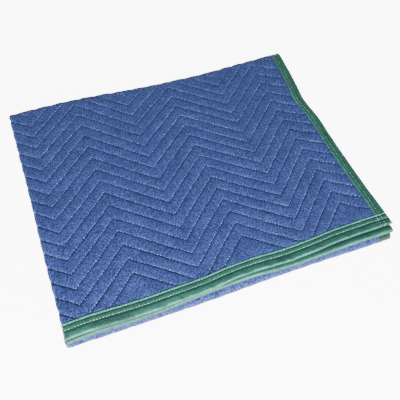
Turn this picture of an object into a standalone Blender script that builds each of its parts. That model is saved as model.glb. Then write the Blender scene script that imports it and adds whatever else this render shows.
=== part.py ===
"""A quilted moving blanket with bound edges, folded into a flat pad of twelve layers.

The cloth and its bindings are drawn flat first. There u runs across the blanket from the bound
side that ends up on top at the right, v runs down it from the bound end that ends up on top at
the front, and w is the height over the cloth's middle, towards the face that shows. Two folds
then lay the flat drawing up: a letter fold to a third of its width, and two half folds to a
quarter of its length. Last, the square pad is skewed as a hand leaves it. Metres, +Z up.
"""

import math
from typing import Callable, Iterable, NamedTuple

import bmesh
import bpy
from mathutils import Matrix, Vector

MM = 0.001

# Cloth and tape
LAYER_PITCH = 3.75 * MM         # one layer's middle to the next one's in the pad
CLOTH = 3.2 * MM                # quilted cloth at the top of its puffs
PRESSED_CLOTH = 1.5 * MM        # the same cloth pressed inside the binding
TAPE_WIDTH = 25.0 * MM          # binding tape on each face of the cloth
TAPE = 0.45 * MM
CLEARANCE = 0.3 * MM            # between the tape and the cloth, and at the tapes' corners
SWELL = 3.0 * MM                # run in which the pressed cloth swells to full thickness

# Pad, from its left outline and from the line of its front edge
PILE = 3.0 * LAYER_PITCH        # three layers make a strip of the letter fold
HEIGHT = 4.0 * PILE
LEFT_FOLD_X = 3.35 * MM         # centre of the letter fold's left turn
RIGHT_FOLD_X = 603.5 * MM       # centre of its right turn, which wraps the hidden side
TOP_SIDE_X = 603.0 * MM         # the side that shows, on top at the right
HIDDEN_SIDE_X = 40.0 * MM       # the opposite side, inside the pad
BACK_FOLD_Y = 465.8 * MM        # centre of the outer half fold
INNER_FOLD_Y = 464.8 * MM       # centre of the inner one, nested in it
FRONT_FOLD_Y = 4.0 * MM         # centre of the half fold under the front edges
END_Y = 0.75 * MM               # both cloth ends at the front, inside their tapes
TUCK = 6.0 * MM                 # how far the skewed letter fold shifts its hidden parts at the right

# Quilting: zigzag rows across the blanket
ROW_PITCH = 27.6 * MM
ROW_VALLEY_V = 48.0 * MM        # a row's nearest points to the bound end
ROW_RISE = 81.0 * MM            # from there to its furthest points
VALLEY_X = 34.0 * MM            # first valley, from the pad's left outline
VALLEY_SPACING = 203.0 * MM
PEAK_AFTER = 96.0 * MM          # from a valley to the next peak
GROOVE = 1.4 * MM               # how deep a row pulls the cloth down
FADE = 15.0 * MM                # the relief dies away over this length under the pad

# Facets of the turns, and the lines that cut the straight runs
LETTER_STEPS = (6, 4)
HALF_STEPS = (8, 6, 4)
COLUMN_X = (34, 82, 130, 184, 237, 285, 333, 387, 440, 488, 536)
HIDDEN_COLUMN_X = COLUMN_X[2::2]
ROW_Y = (100, 200, 285, 333, 370, 430)

# How far the front edges lie off square, by the place across the pad: the end on top, the end
# just under it, and the fold below both. Millimetres.
FRONT_LINES = (
    # x, top, middle, bottom
    (0, -7.0, -6.0, 0.5),
    (34, -5.5, -5.4, 0.4),
    (130, -8.0, -6.2, 0.0),
    (184, -7.0, -3.5, 0.25),
    (237, -5.5, 0.0, 0.5),
    (285, -1.0, 0.5, 1.25),
    (333, 0.3, 0.0, 2.0),
    (387, -1.8, -2.5, 2.25),
    (440, 0.0, -1.0, 2.5),
    (488, 3.0, 0.5, 2.0),
    (536, 4.0, 1.2, 1.5),
    (610, 4.5, 1.8, 2.0),
)

# How far the back fold lies off square. Millimetres.
BACK_LINE = (
    # x, y
    (0, 0.0),
    (130, 3.0),
    (237, -2.5),
    (333, -6.0),
    (440, -6.5),
    (536, 1.0),
    (610, 3.0),
)

# How far the top drifts to the left at its right side, by the place from front to back: where
# the last quilting turn runs, and at the bound side. Millimetres.
SIDE_LINES = (
    # y, inner, edge
    (0, 0.0, 0.0),
    (100, -4.0, -6.5),
    (200, -9.0, -10.5),
    (285, -13.0, -11.5),
    (333, -13.5, -17.5),
    (370, -13.5, -12.0),
    (430, -12.0, -6.5),
    (490, -11.0, -3.5),
)
SIDE_FROM_X, SIDE_TO_X = 536.0 * MM, 575.0 * MM

# The end on top stands a little clear of the layers below it at the right.
LIFT = 1.2 * MM
LIFT_FROM_X, LIFT_TO_X = 440.0 * MM, 488.0 * MM
LIFT_RUN = 70.0 * MM

COLLECTION = "moving_blanket"
CLOTH_BLUE = (0.075, 0.125, 0.36, 1.0)
BINDING_GREEN = (0.045, 0.22, 0.14, 1.0)


class Run(NamedTuple):
    """One stretch of a fold's path: straight, or turning by an angle along its length."""

    length: float
    turn: float = 0.0


class FoldPath:
    """The line that a folded cloth's middle follows in section."""

    def __init__(self, start: tuple, heading: float, runs: Iterable[Run]):
        """Start at a point, facing an angle from the first axis towards the second."""
        self.start = Vector(start)
        self.heading = heading
        self.runs = tuple(runs)
        self.length = sum(run.length for run in self.runs)

    def place(self, along: float, left: float) -> Vector:
        """Return the point at a distance along the path and to the left of it."""
        point, angle = self.start.copy(), self.heading
        for number, run in enumerate(self.runs):
            last = number == len(self.runs) - 1
            step = along if last else min(along, run.length)
            if run.turn:
                radius = run.length / run.turn
                centre = point + radius * unit(angle + math.pi / 2)
                angle += step / radius
                point = centre - radius * unit(angle + math.pi / 2)
            else:
                point = point + step * unit(angle)
            along -= step
            if along <= 0.0:
                break
        return point + left * unit(angle + math.pi / 2)

    def stations(self, marks: Iterable[Iterable[float]], steps: Iterable[int]) -> list:
        """Return where facets end: at each straight run's marks on the first axis, and on turns."""
        found, begin, angle = [], 0.0, self.heading
        marks, steps = iter(marks), iter(steps)
        point = self.start.copy()
        for run in self.runs:
            if run.turn:
                count = next(steps)
                found += [begin + run.length * step / count for step in range(count + 1)]
                radius = run.length / run.turn
                centre = point + radius * unit(angle + math.pi / 2)
                angle += run.turn
                point = centre - radius * unit(angle + math.pi / 2)
            else:
                way = math.cos(angle)
                found += [begin + (mark * MM - point.x) * way for mark in next(marks)
                          if 0.0 < (mark * MM - point.x) * way < run.length]
                point = point + run.length * unit(angle)
            begin += run.length
        return sorted(found)


def unit(angle: float) -> Vector:
    """Return the unit vector at an angle."""
    return Vector((math.cos(angle), math.sin(angle)))


def half_turn(radius: float, left: bool) -> Run:
    """Return a turn of half a circle."""
    return Run(math.pi * radius, math.pi if left else -math.pi)


def letter_fold() -> FoldPath:
    """Return the section across the pad: top strip, bottom strip, and the side hidden between."""
    return FoldPath(
        (TOP_SIDE_X, LAYER_PITCH),
        math.pi,
        (
            Run(TOP_SIDE_X - LEFT_FOLD_X),
            half_turn(LAYER_PITCH, left=True),
            Run(RIGHT_FOLD_X - LEFT_FOLD_X),
            half_turn(LAYER_PITCH / 2, left=True),
            Run(RIGHT_FOLD_X - HIDDEN_SIDE_X),
        ),
    )


def half_folds() -> FoldPath:
    """Return the section from front to back, down from the end that shows on top."""
    return FoldPath(
        (END_Y, 3.5 * PILE),
        0.0,
        (
            Run(BACK_FOLD_Y - END_Y),
            half_turn(1.5 * PILE, left=False),
            Run(BACK_FOLD_Y - FRONT_FOLD_Y),
            half_turn(0.5 * PILE, left=False),
            Run(INNER_FOLD_Y - FRONT_FOLD_Y),
            half_turn(0.5 * PILE, left=True),
            Run(INNER_FOLD_Y - END_Y),
        ),
    )


LETTER = letter_fold()
HALVES = half_folds()
WIDTH = LETTER.length
LENGTH = HALVES.length
SHOWN_WIDTH = sum(run.length for run in LETTER.runs[:2])
TUCKED_WIDTH = SHOWN_WIDTH + LETTER.runs[2].length
SHOWN_LENGTH = sum(run.length for run in HALVES.runs[:2])
NOSE_FROM = sum(run.length for run in HALVES.runs[:3])
NOSE_TO = NOSE_FROM + HALVES.runs[3].length


def smooth(value: float) -> float:
    """Ease from 0 to 1 as the value goes from 0 to 1."""
    value = min(max(value, 0.0), 1.0)
    return value * value * (3.0 - 2.0 * value)


def read_line(table: Iterable[tuple], column: int, place: float) -> float:
    """Read a column of a table of millimetres at a place, with straight steps between rows."""
    place = place / MM
    rows = list(table)
    place = min(max(place, rows[0][0]), rows[-1][0])
    for low, high in zip(rows, rows[1:]):
        if place <= high[0]:
            share = (place - low[0]) / (high[0] - low[0])
            return MM * (low[column] + share * (high[column] - low[column]))
    return MM * rows[-1][column]


def front_shift(x: float, z: float) -> float:
    """Return how far the front lies off square at a place across and a height in the pad."""
    layers_above = (HEIGHT - z) / PILE
    return read_line(FRONT_LINES, 1 + min(int(layers_above), 2), x)


def side_shift(x: float, y: float, z: float) -> float:
    """Return how far a point drifts to the right."""
    at_edge = smooth((x - SIDE_FROM_X) / (SIDE_TO_X - SIDE_FROM_X))
    inner = read_line(SIDE_LINES, 1, y) * x / SIDE_FROM_X
    edge = read_line(SIDE_LINES, 2, y)
    return (inner * (1.0 - at_edge) + edge * at_edge) * min(max(z / HEIGHT, 0.0), 1.0)


def lift(x: float, y: float, z: float) -> float:
    """Return how far the top layer stands clear of the pad at its front end."""
    if z < HEIGHT - LAYER_PITCH:
        return 0.0
    clear = smooth((x - LIFT_FROM_X) / (LIFT_TO_X - LIFT_FROM_X))
    return LIFT * clear * smooth(1.0 - y / LIFT_RUN)


def skew(point: Vector) -> Vector:
    """Move a point of the squarely folded pad to where the pad, laid by hand, has it."""
    x, y, z = point
    back = min(max(y / BACK_FOLD_Y, 0.0), 1.0)
    height = min(max(z / HEIGHT, 0.0), 1.0)
    y += front_shift(x, z) * (1.0 - back) + read_line(BACK_LINE, 1, x) * back * height
    return Vector((x + side_shift(x, point.y, z), y, z + lift(x, y, z)))


def tuck(u: float) -> float:
    """Return how far the skewed letter fold shifts the cloth down the pad, at a place across it.

    The second strip lies askew under the top one, and the last strip lies along the second.
    """
    if u < TUCKED_WIDTH:
        return TUCK * max(u - SHOWN_WIDTH, 0.0) / (TUCKED_WIDTH - SHOWN_WIDTH)
    return TUCK * (WIDTH - u) / (WIDTH - TUCKED_WIDTH)


def fold(flat: Vector) -> Vector:
    """Fold a point of the flat drawing into the pad."""
    across = LETTER.place(flat.x, -flat.z)
    along = HALVES.place(flat.y + tuck(flat.x), across.y)
    return skew(Vector((across.x, along.x, along.y)))


def row_start(u: float) -> float:
    """Return where the first quilting row lies down the blanket, at a place across it."""
    x = TOP_SIDE_X - u
    along = (x - VALLEY_X) % VALLEY_SPACING
    if along < PEAK_AFTER:
        return ROW_VALLEY_V + ROW_RISE * along / PEAK_AFTER
    return ROW_VALLEY_V + ROW_RISE * (VALLEY_SPACING - along) / (VALLEY_SPACING - PEAK_AFTER)


def row_bands() -> list:
    """Return the places across the shown strip between which the rows run straight."""
    reach = range(-1, 4)
    turns = [VALLEY_X + VALLEY_SPACING * number for number in reach]
    turns += [turn + PEAK_AFTER for turn in turns]
    places = sorted(TOP_SIDE_X - turn for turn in turns)
    edge = TAPE_WIDTH + SWELL
    return [edge] + [place for place in places if edge < place < SHOWN_WIDTH] + [SHOWN_WIDTH]


def edge_distance(u: float, v: float) -> float:
    """Return the distance to the nearest cut edge of the blanket."""
    return min(u, WIDTH - u, v, LENGTH - v)


def cloth_half(u: float, v: float) -> float:
    """Return half the cloth's thickness, pressed inside the binding and full beyond it."""
    share = (edge_distance(u, v) - TAPE_WIDTH - CLEARANCE) / SWELL
    return (PRESSED_CLOTH + (CLOTH - PRESSED_CLOTH) * min(max(share, 0.0), 1.0)) / 2


def groove_depth(u: float, v: float) -> float:
    """Return how far the quilting draws the shown face down at a place on it."""
    on_top = smooth((SHOWN_LENGTH - v) / FADE)
    on_nose = smooth((v - NOSE_FROM) / (FADE / 2)) * smooth((NOSE_TO + FADE - v) / FADE)
    inside = smooth((SHOWN_WIDTH - u) / FADE) * max(on_top, on_nose)
    inside *= smooth((edge_distance(u, v) - TAPE_WIDTH) / SWELL)
    phase = ((v - row_start(u)) / ROW_PITCH) % 1.0
    return GROOVE * inside * (1.0 - math.sin(math.pi * phase) ** 0.7)


def cut(mesh: bmesh.types.BMesh, faces: list, point: tuple, normal: tuple) -> None:
    """Cut faces along the line where an upright plane meets them."""
    edges = {edge for face in faces for edge in face.edges}
    verts = {vert for face in faces for vert in face.verts}
    bmesh.ops.bisect_plane(
        mesh,
        geom=list(verts) + list(edges) + faces,
        dist=1e-6,
        plane_co=point,
        plane_no=normal,
    )


def cut_rows(mesh: bmesh.types.BMesh) -> None:
    """Cut the shown face along each quilting row and along the puff between two rows."""
    edge = TAPE_WIDTH + SWELL
    bands = row_bands()
    for near, far in zip(bands, bands[1:]):
        centre = (near + far) / 2
        slope = (row_start(far - MM) - row_start(near + MM)) / (far - near - 2 * MM)
        middle = row_start(centre)
        for begin, end in ((edge, SHOWN_LENGTH), (NOSE_FROM, NOSE_TO + FADE)):
            first = math.floor((begin - middle) / ROW_PITCH) - 2
            last = math.ceil((end - middle) / ROW_PITCH) + 2
            for half_row in range(2 * first, 2 * last):
                row_v = middle + half_row * ROW_PITCH / 2
                faces = [
                    face for face in mesh.faces
                    if all(vert.co.z > 0 for vert in face.verts)
                    and near < face.calc_center_median().x < far
                    and begin < face.calc_center_median().y < end
                ]
                cut(mesh, faces, (centre, row_v, 0.0), (-slope, 1.0, 0.0))


def hem_lines(length: float) -> list:
    """Return where the cloth begins to swell and is full, in from both ends of a length."""
    places = (TAPE_WIDTH + CLEARANCE, TAPE_WIDTH + SWELL)
    return [*places, *(length - place for place in places)]


def across_stations() -> list:
    """Return where facets end across the blanket, in order, without its two sides."""
    found = LETTER.stations((COLUMN_X, HIDDEN_COLUMN_X, HIDDEN_COLUMN_X), LETTER_STEPS)
    return sorted(found + hem_lines(WIDTH))


def cut_folds(mesh: bmesh.types.BMesh) -> None:
    """Cut the cloth along the lines of the half folds, which the tuck slants outside the top strip."""
    bands = (0.0, SHOWN_WIDTH, TUCKED_WIDTH, WIDTH)
    for along in HALVES.stations([ROW_Y] * 4, HALF_STEPS):
        for near, far in zip(bands, bands[1:]):
            faces = [face for face in mesh.faces if near < face.calc_center_median().x < far]
            slant = (tuck(far) - tuck(near)) / (far - near)
            cut(mesh, faces, (near, along - tuck(near), 0.0), (slant, 1.0, 0.0))


def cloth_mesh() -> bmesh.types.BMesh:
    """Return the quilted cloth, cut into facets while flat and then folded."""
    mesh = bmesh.new()
    size = Matrix.Diagonal((WIDTH, LENGTH, CLOTH, 1.0))
    bmesh.ops.create_cube(mesh, size=1.0, matrix=Matrix.Translation((WIDTH / 2, LENGTH / 2, 0)) @ size)
    outline_u = [*row_bands(), TAPE_WIDTH + CLEARANCE]
    outline_v = [TAPE_WIDTH + SWELL, SHOWN_LENGTH, NOSE_FROM, NOSE_TO + FADE]
    for u in outline_u:
        cut(mesh, mesh.faces[:], (u, 0, 0), (1, 0, 0))
    for v in outline_v:
        cut(mesh, mesh.faces[:], (0, v, 0), (0, 1, 0))
    cut_rows(mesh)
    for u in across_stations():
        cut(mesh, mesh.faces[:], (u, 0, 0), (1, 0, 0))
    for v in hem_lines(LENGTH):
        cut(mesh, mesh.faces[:], (0, v, 0), (0, 1, 0))
    cut_folds(mesh)
    bmesh.ops.triangulate(mesh, faces=mesh.faces[:])
    for vert in mesh.verts:
        u, v, w = vert.co
        half = cloth_half(u, v)
        height = half - groove_depth(u, v) if w > 0 else -half
        vert.co = fold(Vector((u, v, height)))
    bmesh.ops.reverse_faces(mesh, faces=mesh.faces[:])
    return mesh


def tape_section() -> tuple:
    """Return a tape's section over an edge: its outer line and the same line inside it.

    Both run from the tape's upper hem round the edge to its lower hem, as pairs of a distance in
    from the edge and a height.
    """
    inner = PRESSED_CLOTH / 2 + CLEARANCE
    outer = inner + TAPE
    tip = CLEARANCE + TAPE
    above = [(TAPE_WIDTH, outer), (0.0, outer), (-tip, 0.55 * outer)]
    under = [(TAPE_WIDTH, inner), (-CLEARANCE, inner)]
    return tuple(
        line + [(inside, -height) for inside, height in reversed(line)] for line in (above, under)
    )


def tape_mesh(stations: Iterable[float], place: Callable) -> bmesh.types.BMesh:
    """Return a tape swept along its edge: place gives the flat point of a station and section."""
    mesh = bmesh.new()
    outer, inner = tape_section()
    section = outer + inner[::-1]
    rings = [
        [mesh.verts.new(fold(place(station, inside, height))) for inside, height in section]
        for station in stations
    ]
    for ring, after in zip(rings, rings[1:]):
        for number in range(len(ring)):
            mesh.faces.new((ring[number - 1], ring[number], after[number], after[number - 1]))
    for ring in (rings[0], rings[-1]):
        over, under = ring[:len(outer)], ring[len(outer):][::-1]
        mesh.faces.new((*over[:3], *under[1::-1]))
        mesh.faces.new((*over[2:4], *under[2:0:-1]))
        mesh.faces.new((*over[3:], *under[:1:-1]))
    bmesh.ops.triangulate(mesh, faces=mesh.faces[:])
    bmesh.ops.recalc_face_normals(mesh, faces=mesh.faces[:])
    return mesh


def end_tape(far_end: bool) -> bmesh.types.BMesh:
    """Return the tape over one end of the blanket, corner to corner."""
    overhang = CLEARANCE + TAPE

    def place(station: float, inside: float, height: float) -> Vector:
        return Vector((station, LENGTH - inside if far_end else inside, height))

    stations = [-overhang, *across_stations(), WIDTH + overhang]
    return tape_mesh(stations, place)


def side_tape(far_side: bool) -> bmesh.types.BMesh:
    """Return the tape over one side of the blanket, between the two end tapes."""
    start = TAPE_WIDTH + CLEARANCE

    def place(station: float, inside: float, height: float) -> Vector:
        return Vector((WIDTH - inside if far_side else inside, station, height))

    folds = HALVES.stations([ROW_Y] * 4, HALF_STEPS)
    stations = [v for v in sorted(folds + hem_lines(LENGTH)) if start <= v <= LENGTH - start]
    return tape_mesh(stations, place)


def material(name: str, colour: tuple, roughness: float) -> bpy.types.Material:
    """Return a Principled material."""
    made = bpy.data.materials.new(name)
    made.use_nodes = True
    shader = made.node_tree.nodes["Principled BSDF"]
    shader.inputs["Base Color"].default_value = colour
    shader.inputs["Roughness"].default_value = roughness
    shader.inputs["Metallic"].default_value = 0.0
    made.diffuse_color = colour
    return made


def add_piece(name: str, mesh: bmesh.types.BMesh, finish: bpy.types.Material) -> bpy.types.Object:
    """Turn a finished mesh into an object of the blanket's collection."""
    data = bpy.data.meshes.new(name)
    mesh.to_mesh(data)
    mesh.free()
    data.materials.append(finish)
    piece = bpy.data.objects.new(name, data)
    bpy.data.collections[COLLECTION].objects.link(piece)
    return piece


def centre_on_origin(pieces: Iterable[bpy.types.Object]) -> None:
    """Move all pieces so that their common box stands centred on the origin."""
    points = [vert.co for piece in pieces for vert in piece.data.vertices]
    low = Vector(min(point[axis] for point in points) for axis in range(3))
    high = Vector(max(point[axis] for point in points) for axis in range(3))
    middle = (low + high) / 2
    for piece in pieces:
        piece.location = (-middle.x, -middle.y, -low.z)


def build() -> None:
    """Build the folded blanket in an emptied scene."""
    for thing in list(bpy.data.objects):
        bpy.data.objects.remove(thing, do_unlink=True)
    collection = bpy.data.collections.new(COLLECTION)
    bpy.context.scene.collection.children.link(collection)
    pieces = [
        add_piece("quilted_cloth", cloth_mesh(), material("cloth_blue", CLOTH_BLUE, 0.9)),
        add_piece("top_end_binding", end_tape(False), material("top_end_green", BINDING_GREEN, 0.7)),
        add_piece("lower_end_binding", end_tape(True), material("lower_end_green", BINDING_GREEN, 0.7)),
        add_piece("top_side_binding", side_tape(False), material("top_side_green", BINDING_GREEN, 0.7)),
        add_piece("hidden_side_binding", side_tape(True), material("hidden_side_green", BINDING_GREEN, 0.7)),
    ]
    centre_on_origin(pieces)


build()
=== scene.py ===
"""Dressed model of a quilted moving blanket that is folded into a flat pad of twelve layers.

The blanket is drawn flat first, in millimetres: u runs across it from the bound side that ends up
on top at the right, v runs down it from the bound end that ends up on top at the front, and w is
the height over the cloth's middle, towards the face that shows. A letter fold and two half folds
lay the drawing up into a pad, which is then skewed as a hand leaves it and set into the frame.
"""

import logging
import math
from dataclasses import dataclass
from enum import Enum

import bpy
import numpy as np
from mathutils import Euler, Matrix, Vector


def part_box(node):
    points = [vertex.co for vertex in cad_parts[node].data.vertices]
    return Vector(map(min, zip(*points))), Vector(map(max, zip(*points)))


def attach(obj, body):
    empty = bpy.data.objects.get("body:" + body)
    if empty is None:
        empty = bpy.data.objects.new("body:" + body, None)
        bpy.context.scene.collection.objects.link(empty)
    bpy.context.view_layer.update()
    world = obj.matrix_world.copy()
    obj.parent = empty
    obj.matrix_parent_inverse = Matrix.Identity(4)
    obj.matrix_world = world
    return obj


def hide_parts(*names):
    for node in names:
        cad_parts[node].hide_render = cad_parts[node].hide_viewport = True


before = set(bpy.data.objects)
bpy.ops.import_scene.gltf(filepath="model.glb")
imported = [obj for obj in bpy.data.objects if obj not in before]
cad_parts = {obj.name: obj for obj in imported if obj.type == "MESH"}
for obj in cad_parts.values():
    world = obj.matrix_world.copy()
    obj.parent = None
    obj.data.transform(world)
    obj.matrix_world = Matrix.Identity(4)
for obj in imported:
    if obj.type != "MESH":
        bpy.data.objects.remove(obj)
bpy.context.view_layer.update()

LOG = logging.getLogger("moving_blanket")
MM = 0.001

Array = np.ndarray
Material = bpy.types.Material
Socket = bpy.types.NodeSocket

# A table of millimetres: the first number of a row is the place, the others are readings there.
Table = tuple[tuple[float, ...], ...]


class Edge(Enum):
    """The four bound edges of the blanket, each named by the solid that it replaces."""

    TOP_END = "top_end_binding"
    LOWER_END = "lower_end_binding"
    TOP_SIDE = "top_side_binding"
    HIDDEN_SIDE = "hidden_side_binding"

    @property
    def is_end(self) -> bool:
        """Tell whether the edge runs across the blanket."""
        return self in (Edge.TOP_END, Edge.LOWER_END)

    @property
    def is_far(self) -> bool:
        """Tell whether the edge lies at the far end of the flat drawing."""
        return self in (Edge.LOWER_END, Edge.HIDDEN_SIDE)


class Noise:
    """Smooth, seeded noise over a plane, one unit from lump to lump."""

    CELLS = 256

    def __init__(self, seed: int) -> None:
        """Fill the lattice with the lumps that a seed fixes."""
        self.lattice = np.random.default_rng(seed).uniform(-1.0, 1.0, (self.CELLS, self.CELLS))

    def at(self, x: Array, y: Array) -> Array:
        """Read the noise.

        Args:
            x: Places along the first axis.
            y: Places along the second axis.

        Returns:
            Values between -1 and 1.
        """
        x, y = np.broadcast_arrays(np.asarray(x, float), np.asarray(y, float))
        column, row = np.floor(x).astype(int), np.floor(y).astype(int)
        right, up = ease(x - column), ease(y - row)
        column, row = column % self.CELLS, row % self.CELLS
        next_column, next_row = (column + 1) % self.CELLS, (row + 1) % self.CELLS
        near = self.lattice[row, column] * (1 - right) + self.lattice[row, next_column] * right
        far = self.lattice[next_row, column] * (1 - right) + self.lattice[next_row, next_column] * right
        return near * (1 - up) + far * up


def ease(value: Array) -> Array:
    """Return a smooth rise from 0 to 1 as the value goes from 0 to 1."""
    value = np.clip(value, 0.0, 1.0)
    return value * value * (3.0 - 2.0 * value)


def curve(table: Table, column: int, place: Array) -> Array:
    """Read a smooth curve through one column of a table.

    Args:
        table: Rows of places and readings.
        column: Which reading to take.
        place: Places to read at.

    Returns:
        The readings.
    """
    rows = np.array(table, float)
    x, y = rows[:, 0], rows[:, column]
    slopes = np.diff(y) / np.diff(x)
    bends = np.concatenate(([slopes[0]], (slopes[1:] + slopes[:-1]) / 2, [slopes[-1]]))
    place = np.clip(place, x[0], x[-1])
    index = np.clip(np.searchsorted(x, place, side="right") - 1, 0, len(x) - 2)
    width = x[index + 1] - x[index]
    t = (place - x[index]) / width
    rise = t * t * (3 - 2 * t)
    start = t * (1 - t) ** 2 * width * bends[index]
    end = -t * t * (1 - t) * width * bends[index + 1]
    return y[index] * (1 - rise) + y[index + 1] * rise + start + end


@dataclass(frozen=True)
class Run:
    """One stretch of a fold's path: straight, or turning by an angle along its length."""

    length: float
    turn: float = 0.0


class FoldPath:
    """The line that a folded cloth's middle follows in section."""

    def __init__(self, start: tuple[float, float], heading: float, runs: tuple[Run, ...]) -> None:
        """Lay the runs out one after another.

        Args:
            start: First point of the line.
            heading: Angle that the line starts out at.
            runs: Stretches of the line, in order.
        """
        self.legs = []
        point, angle, begin = np.array(start), heading, 0.0
        for run in runs:
            self.legs.append((begin, run, point, angle))
            point, angle = self.step(run, point, angle, run.length)
            begin += run.length
        self.length = begin

    @staticmethod
    def step(run: Run, point: Array, angle: float, along: Array) -> tuple:
        """Walk a distance into a run.

        Args:
            run: The run.
            point: Where it starts.
            angle: Angle at which it starts.
            along: Distance from its start.

        Returns:
            The point reached and the angle there.
        """
        along = np.asarray(along, float)
        if not run.turn:
            reached = point + along[..., None] * direction(angle)
            return reached, angle + 0.0 * along
        radius = run.length / run.turn
        turned = angle + along / radius
        centre = point + radius * direction(angle + math.pi / 2)
        return centre - radius * direction(turned + math.pi / 2), turned

    def place(self, along: Array, left: Array) -> tuple[Array, Array]:
        """Find points by their distance along the line and to the left of it.

        Args:
            along: Distances along the line.
            left: Distances to its left.

        Returns:
            First and second coordinates.
        """
        along, left = np.broadcast_arrays(np.asarray(along, float), np.asarray(left, float))
        result = np.zeros((*along.shape, 2))
        for number, (begin, run, point, angle) in enumerate(self.legs):
            inside = np.ones(along.shape, bool)
            if number > 0:
                inside &= along >= begin
            if number < len(self.legs) - 1:
                inside &= along < begin + run.length
            reached, turned = self.step(run, point, angle, along[inside] - begin)
            result[inside] = reached + left[inside][:, None] * direction(turned + math.pi / 2)
        return result[..., 0], result[..., 1]


def direction(angle: Array) -> Array:
    """Return unit vectors at angles."""
    return np.stack((np.cos(angle), np.sin(angle)), axis=-1)


def half_turn(radius: float, left: bool) -> Run:
    """Return a turn of half a circle."""
    return Run(math.pi * radius, math.pi if left else -math.pi)


@dataclass(frozen=True)
class Pad:
    """How the blanket is folded, from the pad's left outline and the line of its front edge."""

    layer_pitch: float = 3.75
    left_fold_x: float = 3.35
    right_fold_x: float = 603.5
    top_side_x: float = 603.0
    hidden_side_x: float = 40.0
    back_fold_y: float = 465.8
    inner_fold_y: float = 464.8
    front_fold_y: float = 4.0
    end_y: float = 0.75
    tuck: float = 6.0
    side_from_x: float = 536.0
    side_to_x: float = 575.0
    tape_width: float = 25.0
    pinch: float = 5.4
    pinch_from_x: float = 556.0
    pinch_run: float = 60.0
    corner: float = 2.0
    corner_run: tuple[float, float] = (40.0, 30.0)
    bulge: float = 2.2
    bulge_run: float = 90.0
    bulge_to_y: float = 320.0
    bulge_fade: float = 200.0
    lift: float = 1.2
    lift_from_x: float = 440.0
    lift_to_x: float = 488.0
    lift_run: float = 70.0
    sag: float = 2.4
    sag_from_y: float = 4.0
    sag_to_y: float = -9.0
    # How far the front edges lie off square: the end on top, the end under it, the fold below.
    front_lines: Table = (
        (0, -7.0, -6.8, -2.6),
        (34, -5.5, -6.2, -3.0),
        (130, -8.0, -7.4, -3.8),
        (184, -6.7, -4.8, -4.0),
        (237, -5.1, -1.6, -4.0),
        (285, -0.5, 0.5, -3.0),
        (333, 1.0, 0.7, -2.0),
        (387, -1.0, -1.8, -1.6),
        (440, 0.9, -0.9, -1.4),
        (488, 4.0, 0.8, -1.8),
        (536, 5.0, 1.7, -2.8),
        (610, 5.2, 2.0, -2.6),
    )
    # How far the back fold lies off square.
    back_line: Table = ((0, 3.0), (130, 6.5), (237, -0.5), (333, -5.0), (440, -4.0), (536, 4.0), (610, 7.5))
    # How far the top drifts to the left, from front to back: at the last quilting turn, at the side.
    side_lines: Table = (
        (0, 0.0, 1.5),
        (100, -4.0, -4.0),
        (200, -9.0, -7.5),
        (285, -13.0, -8.5),
        (333, -13.5, -14.5),
        (370, -13.5, -9.5),
        (430, -12.0, -4.0),
        (490, -11.0, -1.0),
    )

    @property
    def pile(self) -> float:
        """Return the height of three layers, one strip of the letter fold."""
        return 3.0 * self.layer_pitch

    @property
    def height(self) -> float:
        """Return the height of the whole pad."""
        return 4.0 * self.pile


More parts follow.
